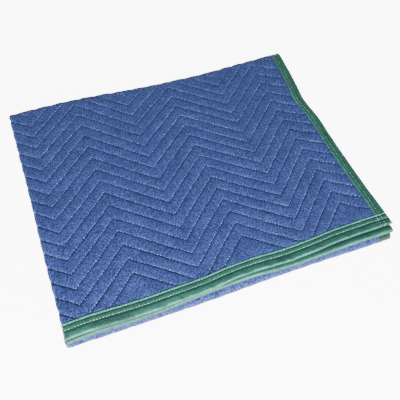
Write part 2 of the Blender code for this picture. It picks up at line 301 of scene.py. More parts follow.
class FoldedBlanket:
    """The map from the flat drawing to the pad in the frame."""

    CAD_RISE = 0.275        # from the pad's own zero up to its lowest cloth
    TIP = 0.75              # how far a tape's edge stands out from the cloth's cut edge

    def __init__(self, pad: Pad) -> None:
        """Lay out the folds and find the pad's place in the frame.

        Args:
            pad: Sizes of the folded pad.
        """
        self.pad = pad
        pitch, pile = pad.layer_pitch, pad.pile
        self.letter = FoldPath(
            (pad.top_side_x, pitch),
            math.pi,
            (
                Run(pad.top_side_x - pad.left_fold_x),
                half_turn(pitch, left=True),
                Run(pad.right_fold_x - pad.left_fold_x),
                half_turn(pitch / 2, left=True),
                Run(pad.right_fold_x - pad.hidden_side_x),
            ),
        )
        self.halves = FoldPath(
            (pad.end_y, 3.5 * pile),
            0.0,
            (
                Run(pad.back_fold_y - pad.end_y),
                half_turn(1.5 * pile, left=False),
                Run(pad.back_fold_y - pad.front_fold_y),
                half_turn(0.5 * pile, left=False),
                Run(pad.inner_fold_y - pad.front_fold_y),
                half_turn(0.5 * pile, left=True),
                Run(pad.inner_fold_y - pad.end_y),
            ),
        )
        self.width, self.length = self.letter.length, self.halves.length
        # Where the turns start and end, across the blanket and down it.
        across, down = ([leg[0] for leg in path.legs[1:]] for path in (self.letter, self.halves))
        self.strip, self.strip_turned, self.far_turn, self.last_strip = across
        self.back, self.back_turned, self.nose, self.nose_turned, self.inner, self.inner_turned = down
        _, side_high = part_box(Edge.TOP_SIDE.value)
        end_low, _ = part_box(Edge.TOP_END.value)
        front = min(row[1] for row in pad.front_lines) + pad.end_y - self.TIP
        side = pad.top_side_x + self.TIP
        self.origin = np.array([side - side_high.x / MM, front - end_low.y / MM, self.CAD_RISE])

    def tucked(self, u: Array) -> Array:
        """Return how far the skewed letter fold shifts the cloth down the pad, at places across it."""
        rising = (u - self.strip_turned) / (self.far_turn - self.strip_turned)
        falling = (self.width - u) / (self.width - self.far_turn)
        return self.pad.tuck * np.clip(np.where(u < self.far_turn, rising, falling), 0.0, 1.0)

    def skew(self, x: Array, y: Array, z: Array) -> Array:
        """Move points of the squarely folded pad to where the pad, laid by hand, has them.

        Args:
            x: Places from left to right.
            y: Places from front to back.
            z: Heights.

        Returns:
            Points, with the coordinates along the last axis.
        """
        pad = self.pad
        back = np.clip(y / pad.back_fold_y, 0.0, 1.0)
        height = np.clip(z / pad.height, 0.0, 1.0)
        level = np.clip((pad.height - z) / pad.pile, 0.0, None).astype(int)
        fronts = [curve(pad.front_lines, column, x) for column in (1, 2, 3)]
        front = np.choose(np.minimum(level, 2), fronts)
        at_edge = ease((x - pad.side_from_x) / (pad.side_to_x - pad.side_from_x))
        inner = curve(pad.side_lines, 1, y) * x / pad.side_from_x
        edge = curve(pad.side_lines, 2, y)
        moved_x = x + (inner * (1 - at_edge) + edge * at_edge) * height
        hem_x = pad.top_side_x - pad.tape_width
        pinch = ease((x - pad.pinch_from_x) / (hem_x - pad.pinch_from_x))
        pinch = pinch * ease((pad.top_side_x - x) / pad.tape_width)
        moved_x = moved_x + pad.pinch * pinch * ease(y / pad.pinch_run) * height
        near_x, near_y = pad.corner_run
        moved_x = moved_x - pad.corner * ease(1 - x / near_x) * ease(1 - y / near_y) * (level > 0)
        swollen = ease((pad.bulge_to_y - y) / pad.bulge_fade)
        moved_x = moved_x - pad.bulge * ease(1 - x / pad.bulge_run) * swollen
        moved_y = y + front * (1 - back) + curve(pad.back_line, 1, x) * back * height
        clear = ease((x - pad.lift_from_x) / (pad.lift_to_x - pad.lift_from_x))
        rise = pad.lift * clear * ease(1 - y / pad.lift_run) * (z > pad.height - pad.layer_pitch)
        sag = pad.sag * ease((pad.sag_from_y - moved_y) / (pad.sag_from_y - pad.sag_to_y)) * (level < 2)
        return np.stack((moved_x, moved_y, z + rise - sag), axis=-1)

    def fold(self, u: Array, v: Array, w: Array) -> Array:
        """Fold points of the flat drawing.

        Args:
            u: Places across the blanket.
            v: Places down it.
            w: Heights over the cloth's middle.

        Returns:
            Points in the frame, in millimetres.
        """
        u, v, w = np.broadcast_arrays(np.asarray(u, float), np.asarray(v, float), np.asarray(w, float))
        x, stacked = self.letter.place(u, -w)
        y, z = self.halves.place(v + self.tucked(u), stacked)
        return self.skew(x, y, z) - self.origin

    def edge_distance(self, u: Array, v: Array) -> Array:
        """Return the distance to the nearest cut edge of the blanket."""
        return np.minimum(np.minimum(u, self.width - u), np.minimum(v, self.length - v))


@dataclass(frozen=True)
class Quilting:
    """Zigzag rows of stitches and the relief that they draw into the cloth."""

    row_pitch: float = 27.6
    valley_v: float = 45.2
    rise: float = 83.0
    valley_x: float = 34.0
    valley_spacing: float = 203.0
    peak_after: float = 96.0
    first_number: int = -2
    depth: float = 2.4
    steep: float = 1.15
    gentle: float = 3.0
    crown: float = 0.3
    nose_share: float = 0.4
    stitch: float = 2.9
    stitch_pitch: float = 5.6

    def start(self, u: Array, top_side_x: float) -> Array:
        """Return where the first row lies down the blanket.

        Args:
            u: Places across the blanket.
            top_side_x: Where the blanket's first side lies in the pad.

        Returns:
            Places down the blanket.
        """
        along = (top_side_x - u - self.valley_x) % self.valley_spacing
        falling = (self.valley_spacing - along) / (self.valley_spacing - self.peak_after)
        return self.valley_v + self.rise * np.where(along < self.peak_after, along / self.peak_after, falling)

    def leg(self, u: Array, top_side_x: float) -> Array:
        """Return 0 on the legs whose rows come nearer the end as u grows, and 1 on the others."""
        along = (top_side_x - u - self.valley_x) % self.valley_spacing
        return np.where(along < self.peak_after, 0.0, 1.0)


class MeshMaker:
    """Turns arrays of points and lists of faces into a piece of the scene."""

    @staticmethod
    def make(name: str, points: Array, faces: list, finish: Material,
             flat: Array | None = None, puff_and_painted_light: Array | None = None,
             leg: Array | None = None, lowest: float = 0.0) -> bpy.types.Object:
        """Make an object.

        Args:
            name: Name of the piece.
            points: Points in millimetres.
            faces: Corner numbers of each face.
            finish: Material of the piece.
            flat: Flat coordinates of the points, for the weave.
            puff_and_painted_light: Painted light and shade of each point, from 0 up, which the finishes turn
                into colour.
            leg: Which leg of the zigzag each point lies on, 0 or 1.
            lowest: Height in millimetres that nothing sinks under.

        Returns:
            The object.
        """
        points = np.stack((points[:, 0], points[:, 1], np.maximum(points[:, 2], lowest)), axis=-1)
        data = bpy.data.meshes.new(name)
        data.from_pydata((points * MM).tolist(), [], faces)
        data.validate()
        data.polygons.foreach_set("use_smooth", [True] * len(data.polygons))
        if flat is not None:
            layer = data.attributes.new("cloth_place", "FLOAT_VECTOR", "POINT")
            layer.data.foreach_set("vector", flat.astype(np.float32).ravel())
        # Two readings per point: painted light and shade for the colour, and the leg of the zigzag.
        for reading, values in (("puff_and_painted_light", puff_and_painted_light), ("leg", leg)):
            if values is not None:
                layer = data.attributes.new(reading, "FLOAT", "POINT")
                layer.data.foreach_set("value", values.astype(np.float32).ravel())
        data.materials.append(finish)
        data.update()
        made = bpy.data.objects.new(name, data)
        bpy.context.scene.collection.objects.link(made)
        LOG.info("%s: %d points, %d faces", name, len(data.vertices), len(data.polygons))
        return made


class Grid:
    """A closed sheet over a grid of columns and rows, with fine cells only where they are asked for."""

    def __init__(self, columns: list[int], rows: list[int]) -> None:
        """Take the grid's coarse lines.

        Args:
            columns: Numbers of the columns that coarse cells end at, from the first to the last.
            rows: The same for rows.
        """
        self.columns, self.rows = columns, rows
        self.wide, self.long = columns[-1] + 1, rows[-1] + 1
        self.boxes: list[tuple[int, int, int, int, int]] = []

    def fill(self, side: int, column: int, row: int, steps: tuple[int, int]) -> None:
        """Split one coarse cell.

        Args:
            side: 0 for the shown face, 1 for the other.
            column: Number of the coarse column.
            row: Number of the coarse row.
            steps: How many grid lines each way a cell takes in.
        """
        left, right = self.columns[column], self.columns[column + 1]
        low, high = self.rows[row], self.rows[row + 1]
        for i in range(left, right, steps[0]):
            for j in range(low, high, steps[1]):
                self.boxes.append((side, i, min(i + steps[0], right), j, min(j + steps[1], high)))

    def number(self, side: int, column: int, row: int) -> int:
        """Return the number of a grid point."""
        return (side * self.long + row) * self.wide + column

    def line(self, side: int, start: tuple[int, int], end: tuple[int, int], used: Array) -> list[int]:
        """List the used points from a corner up to the next one, without the latter.

        Args:
            side: Face of the sheet.
            start: Column and row to start at.
            end: Column and row to end at.
            used: Which points any cell uses as a corner.

        Returns:
            Numbers of the points.
        """
        count = max(abs(end[0] - start[0]), abs(end[1] - start[1]))
        step = ((end[0] - start[0]) // count, (end[1] - start[1]) // count)
        numbers = [self.number(side, start[0] + k * step[0], start[1] + k * step[1]) for k in range(count)]
        return [number for number in numbers if used[number]]

    def faces(self) -> tuple[list[list[int]], Array]:
        """Close the sheet.

        Returns:
            The faces, and the numbers of the grid points that they use.
        """
        used = np.zeros(2 * self.long * self.wide, bool)
        for side, left, right, low, high in self.boxes:
            for column, row in ((left, low), (right, low), (right, high), (left, high)):
                used[self.number(side, column, row)] = True
        found = []
        for side, left, right, low, high in self.boxes:
            ring = [(left, low), (right, low), (right, high), (left, high)]
            face = []
            for start, end in zip(ring, ring[1:] + ring[:1]):
                face += self.line(side, start, end, used)
            found.append(face[::-1] if side == 0 else face)
        corners = [(self.columns[0], row) for row in self.rows[:-1]]
        corners += [(column, self.rows[-1]) for column in self.columns[:-1]]
        corners += [(self.columns[-1], row) for row in self.rows[:0:-1]]
        corners += [(column, self.rows[0]) for column in self.columns[:0:-1]]
        for start, end in zip(corners, corners[1:] + corners[:1]):
            upper = self.line(0, start, end, used) + [self.number(0, *end)]
            lower = self.line(1, start, end, used) + [self.number(1, *end)]
            found.append(upper[::-1] + lower)
        numbers = np.flatnonzero(used)
        order = np.full(len(used), -1)
        order[numbers] = np.arange(len(numbers))
        return [order[face].tolist() for face in found], numbers


@dataclass
class QuiltedCloth:
    """The quilted cloth: two cover cloths and the wadding between them, one folded sheet."""

    blanket: FoldedBlanket
    quilting: Quilting
    full_half: float = 1.6
    pressed_half: float = 0.75
    hem: float = 25.0
    hem_middle: float = 12.0
    pressed_to: float = 25.3
    full_from: float = 28.0
    fine: float = 2.7
    coarse: float = 24.0
    nose_row: float = 2.2
    layer_row: float = 3.5
    rows_per_pitch: int = 12
    blend_bands: int = 8
    band_lines: int = 7
    crowding: float = 0.6
    first_row: float = -105.0
    last_row: float = 484.0
    straight_from: float = 760.0
    calm_end: float = 36.0
    turn_lead: float = 12.0
    fade: float = 12.0
    pull_height: float = 0.65
    swell_height: float = 0.45
    fold_height: float = 0.38
    wrinkle_height: float = 0.16

    def __post_init__(self) -> None:
        """Seed the wrinkles."""
        self.pucker, self.wrinkle, self.crease = Noise(11), Noise(12), Noise(13)

    def row_v(self, u: Array, s: Array) -> Array:
        """Find where a line that follows the quilting lies.

        Args:
            u: Places across the blanket.
            s: Distances of the line from the first quilting row.

        Returns:
            Places down the blanket, squeezed together under the tape.
        """
        start = self.quilting.start(np.minimum(u, self.blanket.strip_turned), self.blanket.pad.top_side_x)
        raw = start + s
        squeezed = (s - self.first_row) / (self.full_from - start - self.first_row)
        under = self.hem - 0.5 + (self.full_from - self.hem + 0.5) * squeezed
        return np.where(raw >= self.full_from, raw, under)

    def half(self, u: Array, v: Array) -> Array:
        """Return half the cloth's thickness, pressed inside the binding and full beyond it."""
        share = (self.blanket.edge_distance(u, v) - self.pressed_to) / (self.full_from - self.pressed_to)
        return self.pressed_half + (self.full_half - self.pressed_half) * np.clip(share, 0.0, 1.0)

    def shown(self, u: Array, v: Array) -> Array:
        """Return how far the relief is raised at places of the shown face, from 0 to 1."""
        blanket = self.blanket
        on_top = ease((blanket.back_turned + 4 - v) / self.fade)
        on_nose = ease((v - blanket.nose + 14) / 8) * ease((blanket.nose_turned + 14 - v) / 8)
        on_left = ease((u - blanket.strip + 3) / 3)
        across = ease((blanket.strip_turned - u) / 5)
        hem = ease((blanket.edge_distance(u, v) - self.pressed_to) / 5)
        return across * hem * np.maximum(np.maximum(on_top, on_nose), on_left)

    def relief(self, u: Array, v: Array) -> tuple[Array, Array]:
        """Find the height of the shown face.

        Args:
            u: Places across the blanket.
            v: Places down it.

        Returns:
            Heights over the full cloth, and the painted light of each place, from 0 up: painted shade in a
            groove and on its front side, painted highlight just behind it.
        """
        quilting = self.quilting
        rows = (v - quilting.start(u, self.blanket.pad.top_side_x)) / quilting.row_pitch
        number = np.maximum(np.round(rows), quilting.first_number)
        near = np.minimum(np.abs(rows - number), 0.5) * quilting.row_pitch
        arch = np.sin(np.pi * near / quilting.row_pitch)
        groove = np.where(rows < number, quilting.steep, quilting.gentle)
        puff_and_painted_light = (1 - quilting.crown) * (1 - np.exp(-near / groove)) + quilting.crown * arch
        line = number * 5.3
        pull = self.pucker.at(u / 4.6 + line, np.sign(rows - number) * 3.0 + line) * np.exp(-near / 6.5)
        swell = self.swell_height * self.wrinkle.at(u / 41 + 9, v / 33) * puff_and_painted_light
        fold = self.fold_height * self.crease.at((u + 0.5 * v) / 15, (v - 0.3 * u) / 12) * puff_and_painted_light
        small = self.wrinkle_height * self.wrinkle.at(u / 6.5, v / 5.8 + 40)
        height = -quilting.depth * (1 - puff_and_painted_light) + self.pull_height * pull * arch**0.35 + swell + fold + small
        on_nose = ease((v - self.blanket.nose + 30) / 20) * ease((self.blanket.inner - v) / 20)
        calm = 1 - (1 - quilting.nose_share) * on_nose
        # Painted light: in front of a row the groove's share of depth serves as painted shade; behind it the
        # cloth is painted lighter, most about 2.6 mm back.
        painted_light = 0.5 + 0.5 * puff_and_painted_light + 0.4 * np.exp(-(((near - 2.6) / 2.0) ** 2))
        return height * self.shown(u, v) * calm, np.where(rows < number, puff_and_painted_light, painted_light)

    def surface(self, u: Array, v: Array) -> Array:
        """Return the height of the shown face over the cloth's middle."""
        return self.half(u, v) + self.relief(u, v)[0]

    def column_lines(self) -> tuple[Array, list[int]]:
        """Lay out the grid's columns.

        Returns:
            Places across the blanket, and the numbers of the coarse ones.
        """
        blanket, quilting = self.blanket, self.quilting
        bends = []
        for number in range(-1, 4):
            valley = quilting.valley_x + number * quilting.valley_spacing
            bends += [valley, valley + quilting.peak_after]
        bends = sorted(blanket.pad.top_side_x - bend for bend in bends)
        inner = [u for u in bends if self.full_from + 5 < u < blanket.strip - 5]
        marks = [self.full_from, *inner, blanket.strip]
        places, coarse = [0.0, self.hem_middle, self.hem - 0.5], [0, 1, 2]
        for start, end in zip(marks, marks[1:]):
            blocks = max(1, round((end - start) / self.coarse))
            cells = max(1, round((end - start) / blocks / self.fine))
            coarse += [len(places) + cells * block for block in range(blocks)]
            places += np.linspace(start, end, blocks * cells, endpoint=False).tolist()
        for start, end, count in (
            (blanket.strip, blanket.strip_turned, 8),
            (blanket.strip_turned, blanket.far_turn, round(580 / self.coarse)),
            (blanket.far_turn, blanket.last_strip, 5),
            (blanket.last_strip, blanket.width - self.full_from, round(530 / self.coarse)),
            (blanket.width - self.full_from, blanket.width - self.hem + 0.5, 1),
            (blanket.width - self.hem + 0.5, blanket.width, 2),
        ):
            coarse += range(len(places), len(places) + count)
            places += np.linspace(start, end, count, endpoint=False).tolist()
        coarse.append(len(places))
        places.append(blanket.width)
        return np.array(places), coarse

    def row_lines(self, u: Array) -> tuple[Array, list[int], list[str]]:
        """Lay out the grid's rows.

        Args:
            u: Places of the columns.

        Returns:
            Places down the blanket by row and column, the numbers of the coarse rows, and what kind
            of band starts at each of them.
        """
        blanket, quilting = self.blanket, self.quilting
        lines = [np.full_like(u, 0.0), np.full_like(u, self.hem_middle)]
        coarse, kinds = [0, 1], ["hem", "hem"]

        def mark(kind: str) -> None:
            """Start a band of a kind at the next line."""
            coarse.append(len(lines))
            kinds.append(kind)

        cells = self.rows_per_pitch
        share = np.arange(cells) / cells
        share = share - self.crowding * np.sin(2 * np.pi * share) / (2 * np.pi)
        pitch = quilting.row_pitch
        first, last = math.floor(self.first_row / pitch), round(self.last_row / pitch)
        steps = [self.first_row]
        for number in range(first, last):
            steps += [step for step in ((number + share) * pitch).tolist() if step > self.first_row + 1]
        back = blanket.back - 24 - quilting.valley_v - quilting.rise
        for number, step in enumerate(steps):
            if number % cells == 0 or step > back:
                mark("back" if step > back else "top")
            lines.append(self.row_v(u, step))
        warped = self.row_v(u, last * pitch)
        straight = self.straight_from - blanket.tucked(u)
        nose_from, nose_to = blanket.nose - self.turn_lead, blanket.nose_turned + self.turn_lead
        for number in range(self.blend_bands):
            for part in range(self.band_lines):
                if part == 0:
                    mark("layer")
                blend = (number + part / self.band_lines) / self.blend_bands
                lines.append(warped * (1 - blend) + straight * blend)
        for start, end, step, kind in (
            (self.straight_from, nose_from, self.coarse, "layer"),
            (nose_from, nose_to, self.nose_row, "nose"),
            (nose_to, blanket.inner, self.coarse, "layer"),
            (blanket.inner, blanket.inner_turned, self.nose_row, "inner"),
            (blanket.inner_turned, blanket.length - self.calm_end, self.coarse, "layer"),
        ):
            count = max(1, round((end - start) / step))
            parts = round(step / self.layer_row) if kind == "layer" else 1
            for number in range(count * parts):
                if number % parts == 0:
                    mark(kind)
                along = start + (end - start) * number / (count * parts)
                lines.append(along - blanket.tucked(u))
        mark("hem")
        lines.append(blanket.length - self.calm_end - blanket.tucked(u))
        for inside in (self.full_from, self.hem - 0.5, self.hem_middle, 0.0):
            mark("hem")
            lines.append(np.full_like(u, blanket.length - inside))
        return np.array(lines), coarse, kinds

    def steps(self, side: int, u: float, kind: str) -> tuple[int, int]:
        """Decide how finely a coarse cell is split.

        Args:
            side: 0 for the shown face, 1 for the other.
            u: Where the cell starts across the blanket.
            kind: Kind of row band.

        Returns:
            How many grid lines across and down one face takes in.
        """
        everything = 10_000
        blanket = self.blanket
        left_turn = blanket.strip - 0.1 < u < blanket.strip_turned - 0.1
        strip = self.hem - 1 < u < blanket.strip - 0.1
        if side == 0 and (left_turn or (strip and kind in ("top", "back", "nose"))):
            return 1, 1
        if strip and kind == "back":
            return 3, 1
        return everything, 1 if kind in ("back", "nose", "inner") else everything

    def build(self, finish: Material) -> bpy.types.Object:
        """Build the cloth.

        Args:
            finish: Material of the cloth.

        Returns:
            The piece.
        """
        columns, coarse_columns = self.column_lines()
        rows, coarse_rows, kinds = self.row_lines(columns)
        grid = Grid(coarse_columns, coarse_rows)
        for side in (0, 1):
            for column, first in enumerate(coarse_columns[:-1]):
                for row, kind in enumerate(kinds[:-1]):
                    grid.fill(side, column, row, self.steps(side, columns[first], kind))
        faces, numbers = grid.faces()
        u = np.broadcast_to(columns, rows.shape).ravel()
        v = rows.ravel()
        lower = numbers >= len(u)
        index = numbers % len(u)
        u, v = u[index], v[index]
        relief, puff_and_painted_light = self.relief(u, v)
        half = self.half(u, v)
        points = self.blanket.fold(u, v, np.where(lower, -half, half + relief))
        flat = np.stack((u, v, np.where(lower, 400.0, 0.0)), axis=-1)
        leg = self.quilting.leg(u, self.blanket.pad.top_side_x)
        # Painted shade: the lower face gets a fixed 0.8, and the cloth is painted darker within 2.4 mm of the
        # floor, a painted contact shadow.
        puff_and_painted_light = np.where(lower, 0.8, puff_and_painted_light) * ease((points[:, 2] - 0.6) / 1.8)
        return MeshMaker.make("blanket_cloth", points, faces, finish, flat, puff_and_painted_light, leg)


@dataclass
class BindingTape:
    """One length of woven tape, folded over a cut edge and sewn down with two rows."""

    blanket: FoldedBlanket
    edge: Edge
    width: float = 25.0
    outer: float = 1.5
    inner: float = 1.05
    tip: float = 0.75
    corner_gap: float = 0.4
    first_row: float = 2.9
    second_row: float = 11.7
    scallop: float = 5.4
    seam: float = 1.4
    side_share: float = 0.4
    # Height of the dressed face over its plain height, by the distance from the inner hem.
    face: Table = (
        (0.0, -0.35), (0.3, 0.15), (0.9, 0.5), (1.8, 0.62), (2.9, 0.5), (3.8, 0.0), (4.5, -0.4),
        (5.4, -0.2), (6.6, 0.12), (8.4, 0.35), (10.5, 0.5), (11.7, 0.3), (13.0, -0.35), (13.8, -0.5),
        (14.7, -0.4), (16.4, -0.12), (18.8, 0.05), (21.0, 0.2), (22.6, 0.42), (23.7, 0.5), (24.6, 0.3),
    )
    # The rolled edge: distance in from the cut edge, and share of the plain height.
    roll: Table = ((-0.7, 0.86), (-1.3, 0.5), (-1.5, 0.15))
    # The closed end: distance in from the end, and share of the height.
    closing: Table = ((0.0, 0.1), (0.1, 0.42), (0.32, 0.72), (0.6, 0.92), (0.95, 1.0))

    def __post_init__(self) -> None:
        """Seed the puckers."""
        seed = 20 + list(Edge).index(self.edge)
        self.pucker, self.ripple = Noise(seed), Noise(seed + 40)

    def flat(self, station: Array, inside: Array) -> tuple[Array, Array]:
        """Find places of the flat drawing.

        Args:
            station: Distances along the edge.
            inside: Distances in from it.

        Returns:
            Places across and down the blanket.
        """
        station, inside = np.broadcast_arrays(np.asarray(station, float), np.asarray(inside, float))
        reach = self.blanket.length if self.edge.is_end else self.blanket.width
        if self.edge.is_far:
            inside = reach - inside
        return (station, inside) if self.edge.is_end else (inside, station)

    def dressed(self, station: Array) -> Array:
        """Return how far the face is dressed along the edge: all of it where it shows on top."""
        blanket = self.blanket
        if self.edge is Edge.TOP_END:
            return np.clip((blanket.strip_turned - station) / 6, 0.35, 1.0)
        if self.edge is Edge.TOP_SIDE:
            return np.clip((blanket.back_turned - station) / 6, 0.35, self.side_share)
        return np.full_like(np.asarray(station, float), 0.35)

    def height(self, station: Array, inside: Array) -> Array:
        """Find the height of the dressed face over the cloth's middle.

        Args:
            station: Distances along the edge.
            inside: Distances in from it.

        Returns:
            Heights.
        """
        station, inside = np.broadcast_arrays(np.asarray(station, float), np.asarray(inside, float))
        across = self.width - inside
        plain = curve(self.face, 1, across)
        bead = np.exp(-(((across - 1.9) / 1.5) ** 2))
        scallop = 0.3 * bead * np.sin(2 * np.pi * station / self.scallop)
        slant = station + 0.9 * across
        ridge = 1 - np.abs(self.pucker.at(slant / 26, across / 60))
        deep = -(ridge**9) * ease((across - 13) / 3) * ease((26.5 - across) / 2)
        if self.edge is Edge.TOP_END:
            for row in (self.first_row, self.second_row):
                deep = deep - np.exp(-((station - self.width + row + self.seam) ** 2))
        rows = np.exp(-np.abs(across - self.second_row) / 4.5) + np.exp(-np.abs(across - self.first_row) / 3)
        gather = self.ripple.at(station / 2.6, np.floor(across / 8.7) * 7.7) * rows
        broad = self.ripple.at(station / 45, across / 30 + 60)
        raised = plain + scallop + 0.8 * deep + 0.2 * gather * (1 - bead) + 0.12 * broad * ease(across / 5)
        return self.outer + self.dressed(station) * np.maximum(raised, -0.5)

    def wander(self, station: Array) -> Array:
        """Return how far the rolled edge wanders in and out."""
        return 0.32 * self.ripple.at(np.asarray(station, float) / 19, 90.0)

    def span(self) -> tuple[float, float]:
        """Return where the tape starts and ends along its edge."""
        if self.edge.is_end:
            return -self.tip, self.blanket.width + self.tip
        start = self.width + self.corner_gap
        return start, self.blanket.length - start

    def stations(self) -> Array:
        """Lay out the sections along the tape.

        Returns:
            Distances along the edge, inside the closed ends.
        """
        blanket = self.blanket
        if self.edge.is_end:
            shown = 1.35 if self.edge is Edge.TOP_END else 2.4
            stretches = (
                (0.0, blanket.strip, shown),
                (blanket.strip, blanket.strip_turned, 1.5),
                (blanket.strip_turned, blanket.far_turn, 3.2),
                (blanket.far_turn, blanket.last_strip, 1.0),
                (blanket.last_strip, blanket.width, 2.4),
            )
        else:
            shown, below = (2.4, 4.0) if self.edge is Edge.TOP_SIDE else (16.0, 16.0)
            stretches = (
                (self.span()[0], blanket.back, shown),
                (blanket.back, blanket.back_turned, 2.4),
                (blanket.back_turned, blanket.nose, below),
                (blanket.nose, blanket.nose_turned, 1.6),
                (blanket.nose_turned, blanket.inner, below),
                (blanket.inner, blanket.inner_turned, 1.6),
                (blanket.inner_turned, self.span()[1], below),
            )
        found = []
        for start, end, step in stretches:
            found += np.linspace(start, end, max(2, round((end - start) / step)), endpoint=False).tolist()
        first, last = self.span()
        inset = self.closing[-1][0]
        kept = [station for station in found if first + inset + 0.8 < station < last - inset - 0.8]
        return np.array([first + inset, *kept, last - inset])

    def outer_ring(self, station: float, share: float) -> Array:
        """Lay out the outside of the tape at one section.

        Args:
            station: Distance along the edge.
            share: Share of the height, less than 1 where the end closes.

        Returns:
            Rows of distance in from the edge and height, from the upper hem round to the lower hem.
        """
        across = np.array([row[0] for row in self.face])
        inside = self.width - across
        upper = self.height(np.full_like(inside, station), inside)
        calm = np.minimum(upper, self.outer + 0.2)
        lower = self.outer + 0.35 * (calm - self.outer)
        wander = float(self.wander(station)) * ease((across - 18) / 6)
        roll = np.array(self.roll)
        sway = float(self.wander(station))
        over = np.stack((inside - wander, upper * share), axis=-1)
        under = np.stack((inside - wander, -lower * share), axis=-1)
        turn = np.stack((roll[:, 0] - sway, roll[:, 1] * self.outer * share), axis=-1)
        back = np.stack((roll[:, 0] - sway, -roll[:, 1] * self.outer * share), axis=-1)
        return np.concatenate((over, turn, back[::-1], under[::-1]))

    def inner_ring(self, station: float) -> Array:
        """Lay out the inside of the tape at one section, in the same order as the outside."""
        across = np.array([0.0, 4.5, 8.6, 13.0, 18.8, 24.0])
        inside = self.width - across
        cover = self.height(np.full_like(inside, station), inside) - 0.22
        upper = np.minimum(self.inner, cover)
        tip = -0.3 - float(self.wander(station))
        over = np.stack((inside, upper), axis=-1)
        under = np.stack((inside, np.full_like(inside, -self.inner)), axis=-1)
        turn = np.array([(tip, self.inner * 0.8), (tip, -self.inner * 0.8)])
        return np.concatenate((over, turn, under[::-1]))

    def facing(self, station: Array) -> Array:
        """Tell which way the shown face lies along the edge, 1 for up and -1 for down."""
        blanket = self.blanket
        if self.edge.is_end:
            turned = (station > blanket.strip_turned) ^ (station > blanket.far_turn)
            turned = turned ^ self.edge.is_far
        else:
            turned = (station > blanket.back_turned) ^ (station > blanket.nose_turned)
            turned = turned ^ (station > blanket.inner_turned)
        return np.where(turned, -1.0, 1.0)

    def painted_light(self, station: Array, inside: Array, height: Array) -> Array:
        """Find the painted light of the tape: painted highlights along its beads, its rolled edge and its
        raised parts, painted shade in its creases, under the layer above and on its underside.

        Args:
            station: Distances along the edge.
            inside: Distances in from it.
            height: Heights over the cloth's middle.

        Returns:
            Lightness from 0 up.
        """
        across = self.width - inside
        # Painted highlight: the raised parts, the bead and the rolled edge are painted lighter.
        raised = np.clip(np.abs(height) - 1.0, 0.0, 1.0)
        fleck = self.ripple.at(station / 3.1, 33.0)
        bead = np.exp(-(((across - 1.8) / 1.6) ** 2))
        bead = bead * (0.68 + 0.35 * np.sin(2 * np.pi * station / self.scallop) + 0.35 * fleck)
        rim = np.exp(-((np.maximum(inside, 0.0) / 1.5) ** 2)) * (1.0 + 0.3 * fleck)
        # Painted shade: the creases and, on the end on top, the crossing stitch rows are painted darker.
        crease = np.exp(-(((across - 13.9) / 0.9) ** 2)) + 0.5 * np.exp(-(((across - 4.7) / 0.7) ** 2))
        if self.edge is Edge.TOP_END:
            for row in (self.first_row, self.second_row):
                crease = np.maximum(crease, np.exp(-(((station - self.width + row + self.seam) / 1.1) ** 2)))
        share, base = (1.0, 0.2) if self.edge.is_end else (0.25, 0.12)
        light = base + 0.35 * raised + share * (0.7 * bead + 0.55 * rim - 0.9 * crease)
        # Painted shade: where the end on top lies hidden under the top layer it is painted fully dark.
        if self.edge is Edge.TOP_END:
            light = np.where(station > self.blanket.strip_turned, 0.0, light)
        # Painted shade: the end below is painted darker further in under the layer above, and its gathers are
        # painted as lit and shaded folds.
        if self.edge is Edge.LOWER_END:
            light = light * np.exp(-((np.maximum(inside - 1.2, 0.0) / 6.0) ** 2))
            gathers = self.pucker.at((station + 1.1 * inside) / 6.5, inside / 30)
            light = light + 0.45 * gathers * ease((170 - station) / 80)
        # Painted shade: the side turned down and the low parts of the face are painted dark.
        return np.clip(light, 0.0, 1.3) * ease((self.facing(station) * height / self.outer - 0.2) / 0.6)

    def build(self, finish: Material) -> bpy.types.Object:
        """Build the tape.

        Args:
            finish: Material of the tape.

        Returns:
            The piece.
        """
        middle = self.stations()
        first, last = self.span()
        outer = [(first + into, share) for into, share in self.closing[:-1]]
        outer += [(station, 1.0) for station in middle]
        outer += [(last - into, share) for into, share in self.closing[-2::-1]]
        inner = [first + 0.45, *middle, last - 0.45]
        outer_rings = [self.outer_ring(station, share) for station, share in outer]
        inner_rings = [self.inner_ring(station) for station in inner]
        around, hollow = len(outer_rings[0]), len(inner_rings[0])
        outer_at = np.arange(len(outer) * around).reshape(len(outer), around)
        inner_at = outer_at.size + np.arange(len(inner) * hollow).reshape(len(inner), hollow)
        faces = []
        for low, high in zip(outer_at, outer_at[1:]):
            faces += np.stack((low[:-1], high[:-1], high[1:], low[1:]), axis=-1).tolist()
        for low, high in zip(inner_at, inner_at[1:]):
            faces += np.stack((low[:-1], low[1:], high[1:], high[:-1]), axis=-1).tolist()
        ends = len(self.closing) - 1
        for number in range(len(middle) - 1):
            low, high = outer_at[number + ends], outer_at[number + ends + 1]
            near, far = inner_at[number + 1], inner_at[number + 2]
            faces.append([low[0], near[0], far[0], high[0]])
            faces.append([low[-1], high[-1], far[-1], near[-1]])
        faces.append(outer_at[0].tolist())
        faces.append(outer_at[-1][::-1].tolist())
        faces.append(inner_at[0][::-1].tolist())
        faces.append(inner_at[-1].tolist())
        start, stop = outer_at[:ends + 1], outer_at[-ends - 1:][::-1]
        mouth = (inner_at[1, -1], inner_at[0, -1], inner_at[0, 0], inner_at[1, 0])
        faces.append([*start[::-1, 0], *start[:, -1], *mouth])
        faces.append([*stop[:, 0], inner_at[-2, 0], inner_at[-1, 0], inner_at[-1, -1], inner_at[-2, -1],
                      *stop[::-1, -1]])
        faces = [[int(corner) for corner in face] for face in faces]
        station = np.concatenate([np.repeat([place for place, _ in outer], around), np.repeat(inner, hollow)])
        section = np.concatenate(outer_rings + inner_rings)
        u, v = self.flat(station, section[:, 0])
        points = self.blanket.fold(u, v, section[:, 1])
